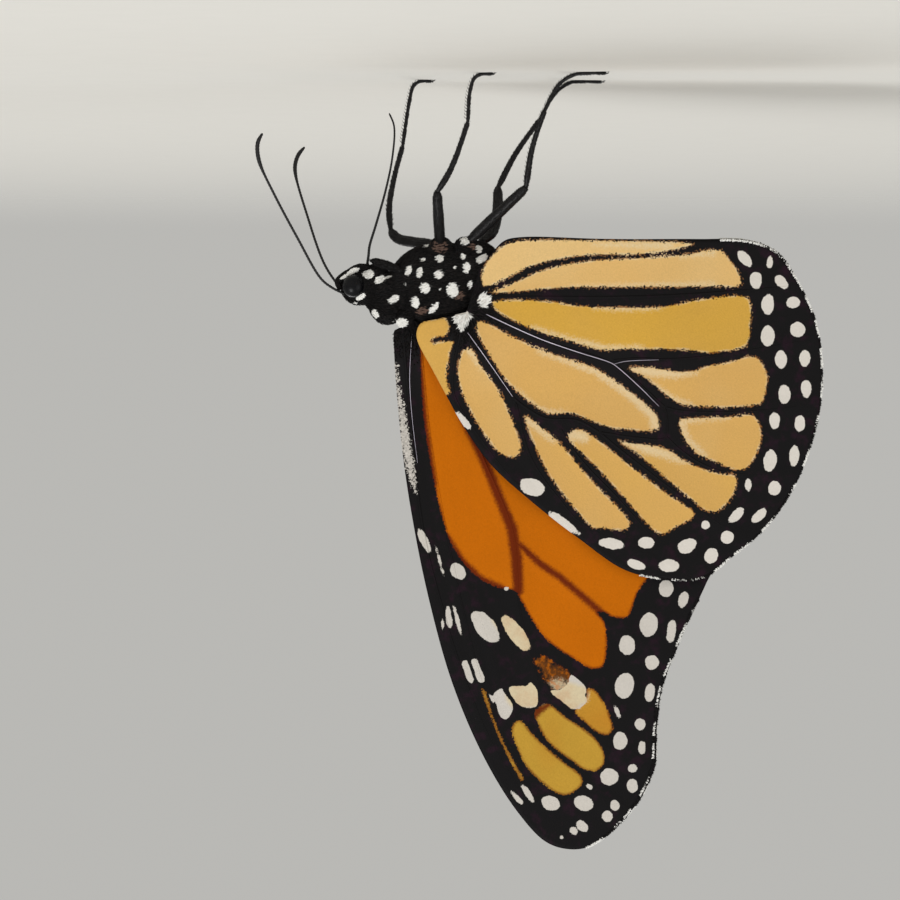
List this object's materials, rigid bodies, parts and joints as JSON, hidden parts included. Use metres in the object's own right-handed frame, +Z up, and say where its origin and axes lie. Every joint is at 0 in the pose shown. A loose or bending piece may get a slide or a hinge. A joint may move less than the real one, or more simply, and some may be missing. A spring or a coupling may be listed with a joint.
{
  "type": "monarch butterfly",
  "caption": "Monarch butterfly as a still life-size model, standing on its legs with its patterned wings shut over its back.",
  "frame": {"origin": "on the floor, under the middle of the outline seen from above", "axes": "+X the way the butterfly faces, +Y its left side, +Z up from the floor to the tips of its wings"},
  "size_m": [0.052, 0.017, 0.0708],
  "materials": {
    "body_coat": "short black hair and scales with clean white spots",
    "eye": "glossy, finely faceted",
    "leg_shell": "black shell with fine bristles",
    "tongue": "dark brown, ringed",
    "forewing": "scaled membrane, orange cells, black veins and border, white spots",
    "hindwing": "scaled membrane, tan cells, black veins and border, white spots"
  },
  "bodies": {
    "root": {"head": "body_coat", "prothorax": "body_coat", "thorax": "body_coat", "abdomen": "body_coat", "proboscis": "tongue", "eye_right": "eye", "eye_left": "eye", "palp_right": "body_coat", "palp_left": "body_coat", "antenna_shaft_right": "leg_shell", "antenna_shaft_left": "leg_shell", "antenna_club_right": "leg_shell", "antenna_club_left": "leg_shell", "foreleg_right": "leg_shell", "foreleg_left": "leg_shell", "leg_mid_right_femur": "leg_shell", "leg_mid_right_tibia": "leg_shell", "leg_mid_right_tarsus": "leg_shell", "leg_mid_left_femur": "leg_shell", "leg_mid_left_tibia": "leg_shell", "leg_mid_left_tarsus": "leg_shell", "leg_hind_right_femur": "leg_shell", "leg_hind_right_tibia": "leg_shell", "leg_hind_right_tarsus": "leg_shell", "leg_hind_left_femur": "leg_shell", "leg_hind_left_tibia": "leg_shell", "leg_hind_left_tarsus": "leg_shell", "forewing_right": "forewing", "forewing_left": "forewing", "hindwing_right": "hindwing", "hindwing_left": "hindwing"}
  },
  "joints": []
}
